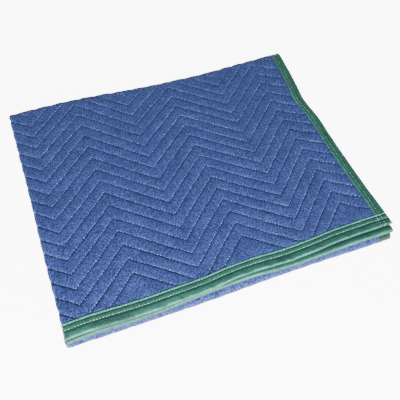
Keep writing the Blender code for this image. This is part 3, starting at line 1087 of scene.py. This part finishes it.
        puff_and_painted_light = self.painted_light(station, section[:, 0], section[:, 1])
        flat = np.stack((station, section[:, 0], np.where(section[:, 1] < 0, 300.0, 0.0)), axis=-1)
        return MeshMaker.make(f"dressed_{self.edge.value}", points, faces, finish, flat, puff_and_painted_light)


@dataclass
class Thread:
    """A thread drawn through the cloth, seen as a row of short stitches."""

    radius: float = 0.33
    rise: float = 0.22
    dip: float = 0.3
    sides: int = 5

    def stitches(self, starts: Array, ends: Array, normals: Array,
                 sizes: Array) -> tuple[Array, list]:
        """Build stitches as short bent strands.

        Args:
            starts: Where each stitch leaves the cloth.
            ends: Where it goes in again.
            normals: Way out of the cloth at each stitch.
            sizes: How plump each stitch is, about 1.

        Returns:
            Points and faces.
        """
        along = ends - starts
        along /= np.linalg.norm(along, axis=1, keepdims=True)
        across = np.cross(normals, along)
        across /= np.linalg.norm(across, axis=1, keepdims=True)
        out = np.cross(along, across)
        tail = (0.15, -self.dip)
        rings = ((0.0, *tail), (0.16, 0.8, 0.0), (0.5, 1.0, self.rise), (0.84, 0.8, 0.0), (1.0, *tail))
        angles = np.arange(self.sides) * 2 * np.pi / self.sides
        points, sizes = [], sizes[:, None]
        for share, thick, height in rings:
            centre = starts + (ends - starts) * share + out * height * sizes
            for angle in angles:
                ring = across * math.cos(angle) + out * math.sin(angle)
                points.append(centre + ring * self.radius * thick * sizes)
        points = np.stack(points, axis=1).reshape(-1, 3)
        sides, block = self.sides, len(rings) * self.sides
        pattern = [
            (ring * sides + side, (ring + 1) * sides + side,
             (ring + 1) * sides + (side + 1) % sides, ring * sides + (side + 1) % sides)
            for ring in range(len(rings) - 1) for side in range(sides)
        ]
        caps = [tuple(range(sides)), tuple(range(block - 1, block - sides - 1, -1))]
        faces = []
        for number in range(len(starts)):
            faces += [[number * block + corner for corner in face] for face in pattern + caps]
        return points, faces


@dataclass
class QuiltingStitches:
    """All stitches of the quilting rows that show, on the top, the folds and the front."""

    cloth: QuiltedCloth
    thread: Thread
    proud: float = 0.1
    behind: float = 0.9
    nose_size: float = 0.5

    def build(self, finish: Material) -> bpy.types.Object:
        """Build the stitches.

        Args:
            finish: Material of the thread.

        Returns:
            The piece.
        """
        cloth, quilting, blanket = self.cloth, self.cloth.quilting, self.cloth.blanket
        top_x = blanket.pad.top_side_x
        random = np.random.default_rng(5)
        reach = np.arange(cloth.hem + 1, blanket.strip_turned - 1, 0.25)
        start = quilting.start(reach, top_x)
        run = np.concatenate(([0.0], np.cumsum(np.hypot(np.diff(reach), np.diff(start)))))
        begins, finishes = [], []
        for number in range(quilting.first_number, 40):
            offset = random.uniform(0, quilting.stitch_pitch)
            marks = np.arange(offset, run[-1] - quilting.stitch, quilting.stitch_pitch)
            marks = marks + random.uniform(-0.25, 0.25, len(marks))
            length = quilting.stitch * random.uniform(0.6, 1.15, len(marks))
            for store, extra in ((begins, 0.0), (finishes, length)):
                u = np.interp(marks + extra, run, reach)
                v = quilting.start(u, top_x) + number * quilting.row_pitch + self.behind
                store.append(np.stack((u, v), axis=-1))
        begin, finish_at = np.concatenate(begins), np.concatenate(finishes)
        middle = (begin + finish_at) / 2
        hem = np.minimum(blanket.edge_distance(*begin.T), blanket.edge_distance(*finish_at.T))
        kept = (hem > cloth.hem + 1.5) & (cloth.shown(*middle.T) > 0.5)
        begin, finish_at, middle = begin[kept], finish_at[kept], middle[kept]
        low = blanket.fold(*begin.T, cloth.surface(*begin.T) + self.proud)
        high = blanket.fold(*finish_at.T, cloth.surface(*finish_at.T) + self.proud)
        out = blanket.fold(*middle.T, 1.0) - blanket.fold(*middle.T, 0.0)
        on_nose = middle[:, 1] > blanket.back_turned + 20
        sizes = random.uniform(0.6, 1.2, len(low)) * np.where(on_nose, self.nose_size, 1.0)
        points, faces = self.thread.stitches(low, high, out, sizes)
        # Painted glint: a random share of the stitches is painted light, far less on the nose, and less on one
        # leg of the zigzag, which meets the light less squarely.
        painted_glint = random.uniform(0.0, 1.0, len(low)) ** 1.8 * np.where(on_nose, 0.2, 1.0)
        painted_glint = painted_glint * np.where(quilting.leg(middle[:, 0], top_x) < 0.5, 1.0, 0.55)
        painted_glint = np.repeat(painted_glint, len(points) // len(low))
        return MeshMaker.make("quilting_stitches", points, faces, finish, puff_and_painted_light=painted_glint)


@dataclass
class BindingStitches:
    """The two rows of stitches along the tapes, which cross where two tapes meet at the corner."""

    end: BindingTape
    side: BindingTape
    thread: Thread
    pitch: float = 4.9
    stitch: float = 2.5
    proud: float = 0.1

    def row(self, tape: BindingTape, inside: float, start: float, stop: float,
            seed: int) -> tuple[Array, Array, Array]:
        """Lay out one row on a tape.

        Args:
            tape: The tape that it is sewn on.
            inside: Distance in from the edge.
            start: Where the row starts along the edge.
            stop: Where it stops.
            seed: Number that fixes its small faults.

        Returns:
            Starts, ends and ways out of the cloth.
        """
        random = np.random.default_rng(seed)
        marks = np.arange(start, stop - self.stitch, self.pitch)
        marks = marks + random.uniform(-0.2, 0.2, len(marks))
        drift = inside + random.uniform(-0.15, 0.15, len(marks))
        points = []
        for extra in (0.0, self.stitch):
            u, v = tape.flat(marks + extra, drift)
            points.append(tape.blanket.fold(u, v, tape.height(marks + extra, drift) + self.proud))
        u, v = tape.flat(marks + self.stitch / 2, drift)
        out = tape.blanket.fold(u, v, 1.0) - tape.blanket.fold(u, v, 0.0)
        return points[0], points[1], out

    def crossing(self, inside: float, seed: int) -> tuple[Array, Array, Array]:
        """Carry a row of the side tape on over the end tape at the corner.

        Args:
            inside: Distance of the row in from the side.
            seed: Number that fixes its small faults.

        Returns:
            Starts, ends and ways out of the cloth.
        """
        random = np.random.default_rng(seed)
        tape = self.end
        marks = np.arange(0.8, tape.width - 1.0, self.pitch) + random.uniform(-0.2, 0.2)
        points = []
        for extra in (0.0, self.stitch):
            down = np.minimum(marks + extra, tape.width - 0.6)
            u, v = tape.flat(np.full_like(marks, inside), down)
            points.append(tape.blanket.fold(u, v, tape.height(np.full_like(marks, inside), down) + self.proud))
        out = np.tile((0.0, 0.0, 1.0), (len(marks), 1))
        return points[0], points[1], out

    def build(self, finish: Material) -> bpy.types.Object:
        """Build the stitches.

        Args:
            finish: Material of the thread.

        Returns:
            The piece.
        """
        blanket = self.end.blanket
        rows = []
        for number, across in enumerate((self.end.first_row, self.end.second_row)):
            inside = self.end.width - across
            rows.append(self.row(self.end, inside, 0.5, blanket.strip_turned - 1, 60 + number))
            below = self.side.width + 1.2
            rows.append(self.row(self.side, inside, below, blanket.back_turned - 1, 70 + number))
            rows.append(self.crossing(inside, 80 + number))
        starts, ends, out = (np.concatenate(parts) for parts in zip(*rows))
        sizes = np.random.default_rng(90).uniform(0.45, 1.15, len(starts))
        sizes = sizes * np.repeat((1.0, 0.7, 1.15) * 2, [len(part[0]) for part in rows])
        points, faces = self.thread.stitches(starts, ends, out, sizes)
        # Painted glint: plumper stitches are painted lighter.
        painted_glint = np.repeat(sizes, len(points) // len(starts))
        return MeshMaker.make("binding_stitches", points, faces, finish, puff_and_painted_light=painted_glint)


class NodeBook:
    """Writes a material's nodes."""

    def __init__(self, name: str) -> None:
        """Start an empty material.

        Args:
            name: Name of the material.
        """
        self.material = bpy.data.materials.new(name)
        self.material.use_nodes = True
        self.tree = self.material.node_tree
        self.shader = self.tree.nodes["Principled BSDF"]

    def add(self, kind: str, **settings: object) -> bpy.types.Node:
        """Add a node.

        Args:
            kind: Type of the node, without its prefix.
            **settings: Values of the node's own properties.

        Returns:
            The node.
        """
        node = self.tree.nodes.new(f"ShaderNode{kind}")
        for name, value in settings.items():
            setattr(node, name, value)
        return node

    def link(self, source: Socket, target: Socket) -> None:
        """Join two sockets."""
        self.tree.links.new(source, target)

    def feed(self, value: object, socket: Socket) -> None:
        """Give a socket its value: another socket, a number or a colour."""
        if isinstance(value, Socket):
            self.link(value, socket)
        else:
            socket.default_value = value

    def fix(self, values: dict[str, object]) -> None:
        """Set what is the same all over the surface, by the names of the shader's sockets."""
        for name, value in values.items():
            self.shader.inputs[name].default_value = value

    def attribute(self, name: str) -> bpy.types.Node:
        """Read a stored attribute of the mesh."""
        return self.add("Attribute", attribute_name=name, attribute_type="GEOMETRY")

    def scaled(self, vector: Socket, scale: tuple[float, float, float]) -> Socket:
        """Scale a vector.

        Args:
            vector: Socket to read.
            scale: Factor on each axis.

        Returns:
            The scaled vector's socket.
        """
        node = self.add("VectorMath", operation="MULTIPLY")
        self.link(vector, node.inputs[0])
        node.inputs[1].default_value = scale
        return node.outputs[0]

    def turned(self, vector: Socket, angle: float) -> Socket:
        """Turn a vector in the plane of the cloth.

        Args:
            vector: Socket to read.
            angle: Angle in radians.

        Returns:
            The turned vector's socket.
        """
        node = self.add("VectorRotate", rotation_type="Z_AXIS")
        self.link(vector, node.inputs["Vector"])
        node.inputs["Angle"].default_value = angle
        return node.outputs[0]

    def noise(self, vector: Socket, size: float, detail: float = 2.0,
              roughness: float = 0.5) -> Socket:
        """Add noise.

        Args:
            vector: Where to read it, in millimetres.
            size: Size of its lumps in millimetres.
            detail: Number of finer layers.
            roughness: Strength of the finer layers.

        Returns:
            The noise's value.
        """
        node = self.add("TexNoise")
        self.link(vector, node.inputs["Vector"])
        node.inputs["Scale"].default_value = 1.0 / size
        node.inputs["Detail"].default_value = detail
        node.inputs["Roughness"].default_value = roughness
        return node.outputs["Fac"]

    def math(self, operation: str, first: object, second: object = 0.0) -> Socket:
        """Add a sum.

        Args:
            operation: What it does.
            first: Socket or number.
            second: Socket or number.

        Returns:
            The result's socket.
        """
        node = self.add("Math", operation=operation)
        self.feed(first, node.inputs[0])
        self.feed(second, node.inputs[1])
        return node.outputs[0]

    def total(self, *parts: Socket) -> Socket:
        """Add values up."""
        result = parts[0]
        for part in parts[1:]:
            result = self.math("ADD", result, part)
        return result

    def span(self, value: Socket, source: tuple[float, float],
             target: tuple[float, float]) -> Socket:
        """Map one range onto another.

        Args:
            value: Socket to read.
            source: Range that it comes in.
            target: Range that it goes out in.

        Returns:
            The mapped value's socket.
        """
        node = self.add("MapRange")
        self.link(value, node.inputs["Value"])
        for name, number in zip(("From Min", "From Max", "To Min", "To Max"), (*source, *target)):
            node.inputs[name].default_value = number
        return node.outputs["Result"]

    def mix(self, share: Socket, first: object, second: object) -> Socket:
        """Mix two colours.

        Args:
            share: Socket with the share of the second colour.
            first: Socket or colour.
            second: Socket or colour.

        Returns:
            The mixed colour's socket.
        """
        node = self.add("Mix", data_type="RGBA")
        self.link(share, node.inputs[0])
        self.feed(first, node.inputs[6])
        self.feed(second, node.inputs[7])
        return node.outputs[2]

    def threads(self, vector: Socket, across: float, along: float) -> Socket:
        """Draw a plain weave of two threads.

        Args:
            vector: Flat place in millimetres.
            across: Spacing of the threads on the first axis.
            along: Spacing of the threads on the second axis.

        Returns:
            Height of the weave from 0 to 1.
        """
        parts = self.add("SeparateXYZ")
        self.link(vector, parts.inputs[0])
        first = self.math("SINE", self.math("MULTIPLY", parts.outputs[0], 2 * math.pi / across))
        second = self.math("SINE", self.math("MULTIPLY", parts.outputs[1], 2 * math.pi / along))
        return self.span(self.math("MULTIPLY", first, second), (-1.0, 1.0), (0.0, 1.0))

    def relief(self, *layers: tuple[Socket, float, float]) -> None:
        """Lay fine relief on the surface.

        Args:
            *layers: Coarsest first, a socket with heights from 0 to 1, the height of the relief in
                millimetres, and the share of it that acts.
        """
        normal = None
        for height, distance, strength in layers:
            node = self.add("Bump")
            node.inputs["Distance"].default_value = distance * MM
            node.inputs["Strength"].default_value = strength
            self.link(height, node.inputs["Height"])
            if normal is not None:
                self.link(normal, node.inputs["Normal"])
            normal = node.outputs[0]
        self.link(normal, self.shader.inputs["Normal"])


Colour = tuple[float, float, float, float]


@dataclass(frozen=True)
class CoverCloth:
    """Brushed cotton and polyester cover cloth, dyed blue, with a crinkled weave and a soft nap; its colour
    also carries painted shade in the grooves and near the floor, and painted highlights on the raised panels.
    """

    # Colours: deep serves as painted shade in grooves and near the floor, plain and cool are the cloth's own
    # blues, and the palest one serves both for paler random tone and for painted highlight on raised panels.
    deep: Colour = (0.0025, 0.005, 0.024, 1.0)
    plain: Colour = (0.0190, 0.0256, 0.110, 1.0)
    cool: Colour = (0.0114, 0.0295, 0.094, 1.0)
    pale_and_highlit: Colour = (0.056, 0.092, 0.30, 1.0)
    # Turns that lay the puckers square to the two legs of the zigzag.
    leg_angles: tuple[float, float] = (0.70, -0.66)

    def material(self) -> Material:
        """Return the finish."""
        book = NodeBook("cover_cloth_blue")
        place = book.attribute("cloth_place").outputs["Vector"]
        puff_and_painted_light = book.attribute("puff_and_painted_light").outputs["Fac"]
        cloud = book.noise(place, 38.0, 3.0, 0.6)
        nap = book.noise(book.scaled(place, (1.0, 0.7, 1.0)), 2.9, 1.0, 0.5)
        crinkle = book.noise(book.scaled(place, (1.0, 0.8, 1.0)), 1.6, 1.0, 0.5)
        tint = book.noise(book.scaled(place, (1.0, 1.0, 0.9)), 5.0, 2.0, 0.6)
        weave = book.threads(place, 1.1, 1.1)
        streaks = [
            book.noise(book.scaled(book.turned(place, angle), (1.0, 0.22, 1.0)), 2.8, 2.0, 0.5)
            for angle in self.leg_angles
        ]
        legs = book.attribute("leg").outputs["Fac"]
        drawn = book.math("ADD", book.math("MULTIPLY", streaks[0], book.math("SUBTRACT", 1.0, legs)),
                          book.math("MULTIPLY", streaks[1], legs))
        tone = book.total(
            book.span(cloud, (0.35, 0.65), (-0.1, 0.1)),
            book.span(nap, (0.35, 0.65), (-0.25, 0.25)),
            book.span(crinkle, (0.35, 0.65), (-0.5, 0.5)),
            book.span(drawn, (0.35, 0.65), (-0.22, 0.22)),
        )
        # Lightness of the colour: the painted light and shade stored on the mesh, plus random tone.
        raised = book.total(book.span(puff_and_painted_light, (0.3, 1.3), (0.25, 0.75)), tone)
        plain = book.mix(book.span(tint, (0.4, 0.6), (0.0, 1.0)), self.plain, self.cool)
        body = book.mix(book.span(raised, (-0.4, 0.5), (0.0, 1.0)), self.deep, plain)
        body = book.mix(book.span(raised, (0.5, 1.4), (0.0, 1.0)), body, self.pale_and_highlit)
        # Painted shade: where the stored value is low, in grooves and near the floor, the colour is pulled
        # towards deep.
        body = book.mix(book.span(puff_and_painted_light, (0.1, 0.5), (0.85, 0.0)), body, self.deep)
        book.link(body, book.shader.inputs["Base Color"])
        book.link(book.span(nap, (0.3, 0.7), (0.82, 0.98)), book.shader.inputs["Roughness"])
        book.fix({"Specular IOR Level": 0.15, "Sheen Weight": 0.08, "Sheen Roughness": 0.45,
                  "Sheen Tint": (0.55, 0.66, 1.0, 1.0)})
        book.relief((drawn, 0.8, 0.6), (nap, 0.7, 0.7), (crinkle, 0.5, 0.8), (weave, 0.12, 0.5))
        return book.material


@dataclass(frozen=True)
class WovenTape:
    """Ribbed binding tape, dyed green, with painted highlights along its raised parts and painted shade in its
    creases and gaps.
    """

    # Colours: deep serves as painted shade, plain is the tape's own green, and the palest one serves both for
    # paler random tone and for painted highlight.
    deep: Colour = (0.002, 0.018, 0.014, 1.0)
    plain: Colour = (0.0125, 0.084, 0.062, 1.0)
    pale_and_highlit: Colour = (0.075, 0.27, 0.215, 1.0)

    def material(self) -> Material:
        """Return the finish."""
        book = NodeBook("binding_tape_green")
        place = book.attribute("cloth_place").outputs["Vector"]
        puff_and_painted_light = book.attribute("puff_and_painted_light").outputs["Fac"]
        cloud = book.noise(book.scaled(place, (0.6, 1.0, 1.0)), 30.0, 3.0, 0.6)
        slub = book.noise(book.scaled(place, (1.0, 0.5, 1.0)), 3.0, 3.0, 0.7)
        grain = book.noise(place, 1.4, 2.0, 0.6)
        ribs = book.threads(place, 1.3, 0.7)
        tone = book.total(
            book.span(cloud, (0.3, 0.7), (-0.1, 0.1)),
            book.span(slub, (0.3, 0.7), (-0.22, 0.22)),
            book.span(grain, (0.3, 0.7), (-0.2, 0.2)),
        )
        # Lightness of the colour: the painted light and shade stored on the mesh, plus random tone.
        raised = book.total(book.span(puff_and_painted_light, (0.0, 1.0), (0.0, 1.0)), tone)
        body = book.mix(book.span(raised, (0.0, 0.5), (0.0, 1.0)), self.deep, self.plain)
        body = book.mix(book.span(raised, (0.55, 1.2), (0.0, 1.0)), body, self.pale_and_highlit)
        book.link(body, book.shader.inputs["Base Color"])
        book.link(book.span(slub, (0.3, 0.7), (0.6, 0.85)), book.shader.inputs["Roughness"])
        book.fix({"Specular IOR Level": 0.25, "Sheen Weight": 0.05, "Sheen Roughness": 0.4,
                  "Sheen Tint": (0.6, 1.0, 0.85, 1.0)})
        book.relief((slub, 0.6, 0.6), (grain, 0.3, 0.5), (ribs, 0.16, 0.6))
        return book.material


@dataclass(frozen=True)
class SewingThread:
    """Twisted polyester thread, painted between a lit and a shaded copy of its colour."""

    name: str
    # light and dark are a lit and a shaded copy of the thread's colour.
    light: Colour
    dark: Colour

    def material(self) -> Material:
        """Return the finish."""
        book = NodeBook(self.name)
        place = book.scaled(book.add("TexCoord").outputs["Object"], (1000.0, 1000.0, 1000.0))
        twist = book.noise(book.scaled(place, (1.0, 1.0, 2.0)), 0.5, 1.0)
        # Painted glint: the colour goes from the shaded copy to the lit one by the stored glint, plus a little
        # random twist.
        painted_glint = book.attribute("puff_and_painted_light").outputs["Fac"]
        share = book.total(book.span(twist, (0.3, 0.7), (0.0, 0.3)), book.span(painted_glint, (0.0, 1.0), (0.0, 0.7)))
        book.link(book.mix(share, self.dark, self.light), book.shader.inputs["Base Color"])
        book.fix({"Roughness": 0.55, "Specular IOR Level": 0.35})
        book.relief((twist, 0.1, 0.5))
        return book.material


@dataclass(frozen=True)
class StudioFloor:
    """Pale seamless paper that the pad lies on."""

    half: float = 4000.0
    colour: Colour = (0.5, 0.5, 0.5, 1.0)
    light: Colour = (1.0, 1.0, 1.0, 1.0)
    glow: float = 9.0

    def build(self) -> bpy.types.Object:
        """Return the floor, as a sheet whose back curves up far behind the pad."""
        steps = np.linspace(-self.half, self.half, 17)
        x, y = np.meshgrid(steps, steps)
        rise = np.clip((y - 0.7 * self.half) / (0.3 * self.half), 0.0, 1.0) ** 2 * 600
        points = np.stack((x, y, rise - 0.02), axis=-1).reshape(-1, 3)
        count = len(steps)
        firsts = [row * count + column for row in range(count - 1) for column in range(count - 1)]
        faces = [[first, first + 1, first + count + 1, first + count] for first in firsts]
        book = NodeBook("floor_paper")
        place = book.scaled(book.add("TexCoord").outputs["Object"], (1000.0, 1000.0, 1000.0))
        grain = book.noise(place, 60.0, 3.0)
        tint = book.mix(book.span(grain, (0.3, 0.7), (0.0, 0.12)), self.colour, (0.48, 0.485, 0.49, 1.0))
        book.link(tint, book.shader.inputs["Base Color"])
        book.fix({"Roughness": 0.9, "Emission Color": self.light, "Emission Strength": self.glow})
        floor = MeshMaker.make("floor", points, faces, book.material, lowest=-1.0)
        return floor


@dataclass(frozen=True)
class Lamp:
    """A square soft light that faces the pad: its place and side in metres, and its power in watts."""

    name: str
    at: tuple[float, float, float]
    size: float
    power: float
    colour: tuple[float, float, float]

    def build(self) -> None:
        """Hang the light."""
        data = bpy.data.lights.new(self.name, "AREA")
        data.size = self.size
        data.energy = self.power
        data.color = self.colour
        made = bpy.data.objects.new(self.name, data)
        made.location = self.at
        made.rotation_euler = (-Vector(self.at)).to_track_quat("-Z", "Y").to_euler()
        bpy.context.scene.collection.objects.link(made)


@dataclass(frozen=True)
class Studio:
    """Camera and soft lights."""

    camera_at: tuple[float, float, float] = (42.8, -319.4, 865.7)
    camera_turn: tuple[float, float, float] = (33.345, -3.666, -21.2)
    lens: float = 48.31
    sensor: float = 36.0
    clip: tuple[float, float] = (0.01, 50.0)
    world: Colour = (0.86, 0.9, 1.0, 1.0)
    world_strength: float = 0.42
    lamps: tuple[Lamp, ...] = (
        Lamp("key_light", (-0.55, -1.85, 0.95), 0.45, 190.0, (1.0, 0.98, 0.96)),
        Lamp("fill_light", (1.5, 0.6, 1.8), 1.6, 12.0, (0.94, 0.97, 1.0)),
    )

    def camera(self, blanket: FoldedBlanket) -> None:
        """Place the camera where the photograph was taken.

        Args:
            blanket: The pad's place in the frame.
        """
        data = bpy.data.cameras.new("camera")
        data.lens = self.lens
        data.sensor_width = self.sensor
        data.clip_start, data.clip_end = self.clip
        made = bpy.data.objects.new("camera", data)
        made.location = Vector(self.camera_at) * MM - Vector(blanket.origin * MM)
        made.rotation_euler = Euler([math.radians(angle) for angle in self.camera_turn])
        bpy.context.scene.collection.objects.link(made)
        bpy.context.scene.camera = made

    def build(self, blanket: FoldedBlanket) -> None:
        """Set up the world, the lights and the camera.

        Args:
            blanket: The pad's place in the frame.
        """
        world = bpy.data.worlds.new("studio")
        world.use_nodes = True
        background = world.node_tree.nodes["Background"]
        background.inputs["Color"].default_value = self.world
        background.inputs["Strength"].default_value = self.world_strength
        bpy.context.scene.world = world
        for lamp in self.lamps:
            lamp.build()
        self.camera(blanket)


def carry(piece: bpy.types.Object, slot: str, *replaced: str) -> None:
    """Hang a piece on the frame.

    Args:
        piece: The piece.
        slot: Not used.
        *replaced: Solids that it stands for.
    """
    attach(piece, "root")
    if replaced:
        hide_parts(*replaced)


def main() -> None:
    """Build every piece in order."""
    logging.basicConfig(level=logging.INFO, format="%(name)s: %(message)s")
    blanket = FoldedBlanket(Pad())
    tape_finish = WovenTape().material()
    cloth = QuiltedCloth(blanket, Quilting())
    sheet = cloth.build(CoverCloth().material())
    carry(sheet, "cloth", "quilted_cloth")
    tapes = {edge: BindingTape(blanket, edge) for edge in Edge}
    with_pieces = []
    for edge, tape in tapes.items():
        piece = tape.build(tape_finish)
        carry(piece, "binding", edge.value)
        with_pieces.append(piece)
    # Each thread gets a lit copy and a shaded copy of its colour.
    white = SewingThread("quilting_thread", (0.5, 0.62, 1.0, 1.0), (0.05, 0.085, 0.28, 1.0)).material()
    green = SewingThread("binding_thread", (0.5, 0.85, 0.72, 1.0), (0.12, 0.42, 0.33, 1.0)).material()
    quilting = QuiltingStitches(cloth, Thread(radius=0.45, rise=0.25)).build(white)
    carry(quilting, "cloth")
    binding = BindingStitches(tapes[Edge.TOP_END], tapes[Edge.TOP_SIDE], Thread(radius=0.36)).build(green)
    carry(binding, "binding")
    with_pieces += [quilting, binding]
    StudioFloor().build()
    Studio().build(blanket)


if __name__ == "__main__":
    main()
